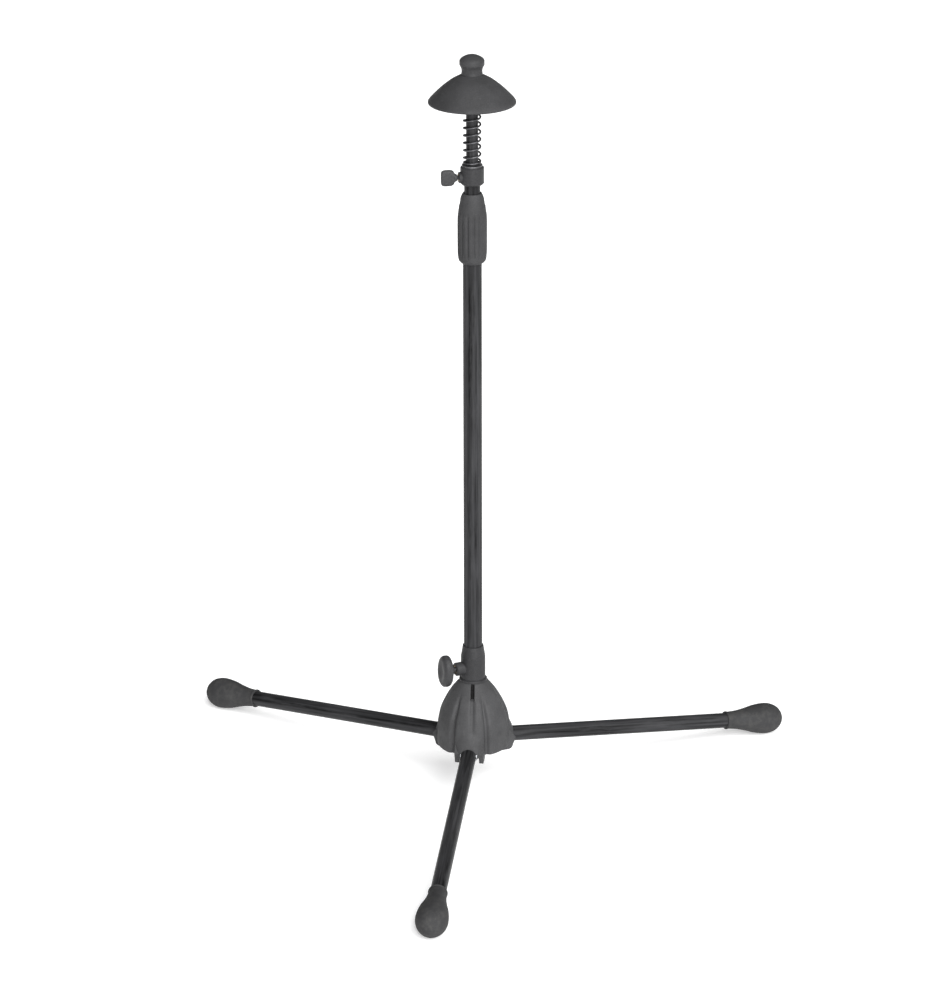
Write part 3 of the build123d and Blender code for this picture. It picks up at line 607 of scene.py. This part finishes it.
def coil_heights(low, high):
    """The wire's height at each step. The coil has one closed turn at each end."""
    steps = ceil(COIL_TURNS * COIL_STEPS)
    opened = []
    for k in range(steps):
        t = COIL_TURNS * (k + 0.5) / steps
        opened.append(smoothstep(0.75, 1.25, t) * smoothstep(COIL_TURNS - 0.75, COIL_TURNS - 1.25, t))
    closed_rise = sum(1 - share for share in opened) * CLOSED_PITCH / COIL_STEPS
    open_rise = (high - low - 2 * WIRE_R - closed_rise) / sum(opened)
    heights = [low + WIRE_R]
    for share in opened:
        heights.append(heights[-1] + share * open_rise + (1 - share) * CLOSED_PITCH / COIL_STEPS)
    return heights


def build_spring():
    """An open coil between the two spring seats. The real one shortens as the bell rest is pressed; this mesh
    keeps its length.
    """
    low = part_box("lower_spring_seat")[1].z / MM
    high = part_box("upper_spring_seat")[0].z / MM
    heights = coil_heights(low, high)
    rings = []
    for k, height in enumerate(heights):
        turn = tau * COIL_TURNS * k / (len(heights) - 1)
        ring = []
        for m in range(WIRE_SIDES):
            around = tau * m / WIRE_SIDES
            r = COIL_R + WIRE_R * cos(around)
            ring.append((r * cos(turn), r * sin(turn), height + WIRE_R * sin(around)))
        rings.append(ring[::-1])
    points, faces = ring_mesh(rings)
    last = len(points) - WIRE_SIDES
    faces += [tuple(range(WIRE_SIDES))[::-1], tuple(range(last, last + WIRE_SIDES))]
    spring = new_piece("coil_spring", points, faces, sharp=60)
    finish_piece(spring, "upper_shaft", "spring_steel", spring_steel, "bell_spring")
    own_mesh(spring)


build_spring()


# ---------------------------------------------------------------- bell rest
SEAT_R = 9.6                    # the peg's foot stands in a shallow seat in the saucer
SEAT_DEEP = 3.2
PEG_BORE_R = 8.0
PEG_R = 12.4
SPINDLE_R = 4.06
SAUCER_HUB_UP = 20.3            # the saucer's middle starts this far above the rod plug's foot


def build_saucer():
    """The dish that a bell's edge rests on: a thin bowl, rolled at the rim."""
    low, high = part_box("bell_saucer")
    rim_r = (high.x - low.x) / 2 / MM
    rim_z = low.z / MM + 0.9
    seat = high.z / MM
    hub_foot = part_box("rod_plug")[0].z / MM + SAUCER_HUB_UP
    under = curve_through([(9, seat - 9.6), (11, seat - 6.7), (14, seat - 5.8), (19.3, seat - 8),
                           (30.5, seat - 16.7), (rim_r - 2.5, rim_z + 0.5)], 8)
    lip = arc((rim_r - 1.35, rim_z + 0.3), 1.3, 215, 360, 8)
    top = curve_through([(rim_r - 0.3, rim_z + 1.6), (rim_r - 3.1, rim_z + 5), (32.3, seat - 14.8),
                         (26.6, seat - 9.9), (20.5, seat - 5.3), (15, seat - 2.2), (11.4, seat - 0.3)], 8)
    seat_floor = seat - SEAT_DEEP
    seat_ring = [(11.1, seat), (SEAT_R, seat), (SEAT_R, seat_floor), (PEG_BORE_R, seat_floor),
                 (PEG_BORE_R, seat_floor + 0.6), (SPINDLE_R, seat_floor + 0.6), (SPINDLE_R, hub_foot),
                 (9, hub_foot)]
    saucer = turned("bell_dish", under + lip + top + seat_ring, 144, sharp=32)
    finish_piece(saucer, "bell_rest", "rest_plastic", rest_plastic, "bell_saucer")


def build_peg():
    """The peg flares from a narrow waist to a straight band and ends in a low cone."""
    low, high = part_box("bell_peg")
    foot, crown = low.z / MM, high.z / MM
    skirt = foot + SEAT_DEEP
    bore_roof = foot + 7.6
    outline = [(PEG_BORE_R, foot), (SEAT_R, foot), (SEAT_R, skirt), (10.5, skirt)]
    outline += curve_through([(10.7, foot + 3.5), (10.3, foot + 6.5), (10.6, foot + 9.5), (11.7, foot + 12),
                              (PEG_R - 0.05, foot + 13.2)], 5)
    outline += [(PEG_R, foot + 13.8), (PEG_R, crown - 6.2)]
    outline += curve_through([(PEG_R - 0.3, crown - 5.4), (10.4, crown - 3.6), (6.5, crown - 1.4),
                              (2.5, crown - 0.15), (0, crown)], 5)
    outline += [(0, bore_roof), (PEG_BORE_R, bore_roof)]
    peg = turned("bell_peg_cap", outline, 96, sharp=30)
    finish_piece(peg, "bell_rest", "rest_plastic", rest_plastic, "bell_peg")


build_saucer()
build_peg()


# ---------------------------------------------------------------- feet
FOOT_R = 16.4                   # at the widest place of the bulb
FOOT_TIP = 20.0                 # from there to the tip
FOOT_MOUTH = -48.0              # from there back to the mouth that the tube goes into
FOOT_TUBE_END = -8.0
FOOT_SEAM = 0.18                # the mould's parting line, along two sides


def build_foot(side):
    """A rubber bulb about its own Z, which runs out along the leg from the middle of the bulb."""
    bore = [(0, FOOT_TUBE_END), (LEG_TUBE_R, FOOT_TUBE_END - 0.01), (LEG_TUBE_R, FOOT_MOUTH)]
    lip = arc((8.7, FOOT_MOUTH + 1.1), 1.1, -90, 60, 6)
    flare = curve_through([(9.1, -46.4), (9.35, -42), (10.2, -34), (12.2, -24), (14.7, -14.5), (16.1, -5.5),
                           (FOOT_R, 0)], 6)
    tip_turns = [radians(5 * k) for k in range(1, 18)]
    tip = [(FOOT_R * cos(a), FOOT_TIP * sin(a)) for a in tip_turns] + [(0, FOOT_TIP)]
    seam_start = len(bore + lip) + 3

    def radius_at(radius, height, angle, row):
        seam = FOOT_SEAM * max(0, cos(2 * angle)) ** 40
        return radius + (seam if row >= seam_start and radius > 1 else 0)

    out = leg_direction(side)
    middle = LEGS_MEET + out * (FOOT_REACH / cos(SLOPE)) * MM
    foot = turned(f"rubber_foot_{side}", bore + lip + flare + tip, 96, place=along(out, middle), closed=False,
                  radius_at=radius_at)
    for vertex in foot.data.vertices:
        vertex.co.z = max(0.0, vertex.co.z)     # flat where it stands on the floor
    finish_piece(foot, f"leg_{side}", "foot_rubber", foot_rubber, f"foot_{side}")


for side in LEG_ANGLES:
    build_foot(side)


# ---------------------------------------------------------------- clamp screws and their knobs
THREAD_DEEP = 0.6               # of the pitch
THREAD_ROWS = 10                # rows of points in one turn of thread
STUD_END = 0.6                  # a stud's inner end is this much thinner
STUD_END_LONG = 0.5
KNOB_SIDES = 48

# Sections of each knob: distance from the shaft's axis, half width, half height, squareness.
WING = [(23.2, 0, 0, 2), (23.2, 4.6, 4.6, 2), (23.4, 5.4, 5.4, 2), (25.0, 5.8, 5.8, 2), (25.8, 7.4, 8.0, 2),
        (26.3, 10.2, 13.6, 2.05), (26.8, 11.7, 16.3, 2.1), (28.2, 12.7, 17.4, 2.1), (30.5, 13.0, 17.7, 2.1),
        (32.8, 12.9, 17.6, 2.1), (34.6, 12.0, 16.7, 2.1), (35.7, 10.2, 14.7, 2.1), (36.0, 8.0, 12.0, 2.05),
        (35.7, 6.0, 8.6, 2.0), (35.0, 4.0, 5.2, 2.0), (34.6, 2.0, 2.4, 2.0), (34.5, 0, 0, 2)]
TAB = [(15.4, 0, 0, 2), (15.4, 3.2, 3.2, 2), (15.6, 3.7, 3.7, 2), (17.2, 3.8, 3.8, 2), (18.0, 3.5, 5.2, 2.3),
       (18.8, 3.0, 6.9, 2.8), (20.2, 2.8, 7.9, 3.2), (22.5, 2.6, 8.25, 3.4), (25.5, 2.5, 8.3, 3.4),
       (28.4, 2.6, 8.2, 3.4), (30.2, 2.6, 7.7, 3.2), (31.2, 2.2, 6.6, 2.8), (31.5, 1.4, 5.0, 2.4),
       (31.5, 0, 0, 2)]


def screw_place(joint):
    """A placement whose Z runs out along a clamp screw."""
    return along(JOINTS[joint]["axis"], JOINTS[joint]["pos_m"])


def build_stud(name, joint, node, radius, pitch, start, end):
    """A threaded stud about its own Z, which points away from the shaft."""
    rows = int((end - start) / pitch * THREAD_ROWS)
    outline = [(0, start), (radius - STUD_END, start)]
    outline += [(radius, mix(start + STUD_END_LONG, end, k / rows)) for k in range(rows + 1)]
    outline += [(0, end)]

    def radius_at(radius, height, angle, row):
        if row < 2:
            return radius
        turn = (height / pitch - angle / tau) % 1
        return radius - THREAD_DEEP * pitch * abs(2 * turn - 1)

    stud = turned(name, outline, 40, place=screw_place(joint), radius_at=radius_at, closed=False, sharp=80)
    finish_piece(stud, JOINTS[joint]["child"], "screw_steel", blackened_steel, node)


def build_knob(name, joint, node, sections, turn=0.0):
    """A knob skinned over its sections, then rounded, and turned on its screw by an angle in degrees."""
    rings = []
    for distance, wide, high, power in sections:
        if wide == 0:
            rings.append([(0.0, 0.0, distance)])
            continue
        around = [superellipse(tau * k / KNOB_SIDES, high, wide, power) for k in range(KNOB_SIDES)]
        rings.append([(x, y, distance) for x, y in around])
    points, faces = ring_mesh(rings)
    knob = new_piece(name, points, faces, screw_place(joint) @ Matrix.Rotation(radians(turn), 4, "Z"))
    soften = knob.modifiers.new("soften", "SUBSURF")
    soften.levels = soften.render_levels = 2
    apply_modifiers(knob)
    resharpen(knob, 55)
    finish_piece(knob, JOINTS[joint]["child"], "knob_plastic", knob_plastic, node)


build_knob("wing_knob", "base_screw_turn", "base_knob", WING, turn=-12)
build_knob("thumb_tab", "rod_screw_turn", "rod_knob", TAB)
build_stud("base_stud", "base_screw_turn", "base_screw", radius=2.95, pitch=1.0, start=12.5, end=31.0)
build_stud("rod_stud", "rod_screw_turn", "rod_screw", radius=2.45, pitch=0.8, start=8.4, end=25.0)


# ---------------------------------------------------------------- materials of the CAD nodes
def dress(material, *nodes):
    """Give CAD nodes that stay visible a finished material."""
    for node in nodes:
        piece = frame["nodes"][node]
        piece.data.materials.clear()
        piece.data.materials.append(material)


dress(collar_plastic, "neck_collar", "top_collar")
dress(shaft_enamel, "lower_tube", "upper_tube")
dress(rod_enamel, "bell_rod")
dress(turned_brass, "base_insert", "rod_insert")
dress(white_nylon, "guide_bush", "clutch_collet", "tube_guide", "rod_bush", "rod_pad", "base_pad")
dress(cast_zinc, "fold_plunger", "clutch_ferrule", "clutch_nut", "rod_plug")
dress(zinc_plate, "plunger_rivet", "rest_washer", "rest_screw")
dress(blackened_steel, "pivot_pins", "lower_spring_seat", "upper_spring_seat")
dress(spring_steel, "rod_clip")
for side in LEG_ANGLES:
    upright = leg_direction(side).to_track_quat("Z", "X").inverted().to_matrix()
    dress(enamel(f"leg_enamel_{side}", TUBE_BLACK, upright), f"leg_tube_{side}")
    dress(cast_zinc, f"leg_knuckle_{side}")
    dress(zinc_plate, f"drive_pin_{side}", f"leg_rivet_{side}")


# ---------------------------------------------------------------- floor, light and camera
FLOOR_REACH = 60000             # far enough for its edge to stay out of low views
FLOOR_TILES = 24
FLOOR_GLOW = 0.28               # lifts the lit card to the white of the photograph's background
WORLD_LIGHT = 0.25
SUN_POWER = 4.9
SUN_SPREAD = radians(65)
SUN_FROM = (0.8, -1.3, 1.25)
FRONT_PANEL = {"place": (0.9, -3.4, 1.0), "aim": (0, 0, 0.4), "width": 0.8, "height": 1.2, "power": 60}

CAMERA_DISTANCE = 3.761         # from the shaft's axis, in plan
CAMERA_HEIGHT = 1.767
CAMERA_AROUND = radians(6.8)    # from the front leg, anticlockwise from above
CAMERA_DOWN = radians(21.04)
CAMERA_ASIDE = radians(0.034)   # the shaft stands a little left of the middle
CAMERA_ROLL = radians(-0.1)
CAMERA_LENS = 142.3


def build_floor():
    """A pale sheet of studio card, a little uneven, far larger than the view."""
    line = [FLOOR_REACH * (2 * k / FLOOR_TILES - 1) for k in range(FLOOR_TILES + 1)]
    points = [(x, y, 0) for y in line for x in line]
    row = len(line)
    corners = [j * row + i for j in range(FLOOR_TILES) for i in range(FLOOR_TILES)]
    floor = new_piece("studio_floor", points, [(c, c + 1, c + row + 1, c + row) for c in corners])
    s = Surface("studio_card", 0.8, specular=0.1)
    s.colour(s.blend(s.noise(0.4, 3), (0.93, 0.93, 0.93), (0.9, 0.9, 0.9)))
    s.set("Emission Color", (1, 1, 1, 1))
    s.set("Emission Strength", FLOOR_GLOW)
    floor.data.materials.append(s.material)


def aim_lamp(light, place, aim):
    """Put a light into the scene, facing a point."""
    lamp = bpy.data.objects.new(light.name, light)
    bpy.context.scene.collection.objects.link(lamp)
    lamp.location = place
    lamp.rotation_euler = (Vector(aim) - Vector(place)).to_track_quat("-Z", "Y").to_euler()


def soft_panel(name, place, aim, width, height, power):
    """A rectangular studio light."""
    light = bpy.data.lights.new(name, "AREA")
    light.shape = "RECTANGLE"
    light.size, light.size_y, light.energy = width, height, power
    aim_lamp(light, place, aim)


def build_studio():
    """White surroundings, one wide soft light from above in front, and a panel near the camera."""
    world = bpy.data.worlds.new("studio")
    world.use_nodes = True
    background = world.node_tree.nodes["Background"]
    background.inputs["Color"].default_value = (1, 1, 1, 1)
    background.inputs["Strength"].default_value = WORLD_LIGHT
    bpy.context.scene.world = world
    bpy.context.scene.view_settings.view_transform = "Standard"
    sky = bpy.data.lights.new("overhead", "SUN")
    sky.energy = SUN_POWER
    sky.angle = SUN_SPREAD
    aim_lamp(sky, SUN_FROM, (0, 0, 0))
    soft_panel("front", **FRONT_PANEL)


def build_camera():
    """The camera stands above and a little to one side of the front leg, and looks down."""
    camera = bpy.data.objects.new("camera", bpy.data.cameras.new("camera"))
    camera.data.lens = CAMERA_LENS
    camera.data.sensor_width = 36
    camera.data.clip_end = 100
    place = Matrix.Rotation(CAMERA_AROUND, 4, "Z") @ Matrix.Translation((0, -CAMERA_DISTANCE, CAMERA_HEIGHT))
    aim = Matrix.Rotation(-CAMERA_ASIDE, 4, "Z") @ Matrix.Rotation(pi / 2 - CAMERA_DOWN, 4, "X")
    camera.matrix_world = place @ aim @ Matrix.Rotation(CAMERA_ROLL, 4, "Z")
    bpy.context.scene.collection.objects.link(camera)
    bpy.context.scene.camera = camera


build_floor()
build_studio()
build_camera()
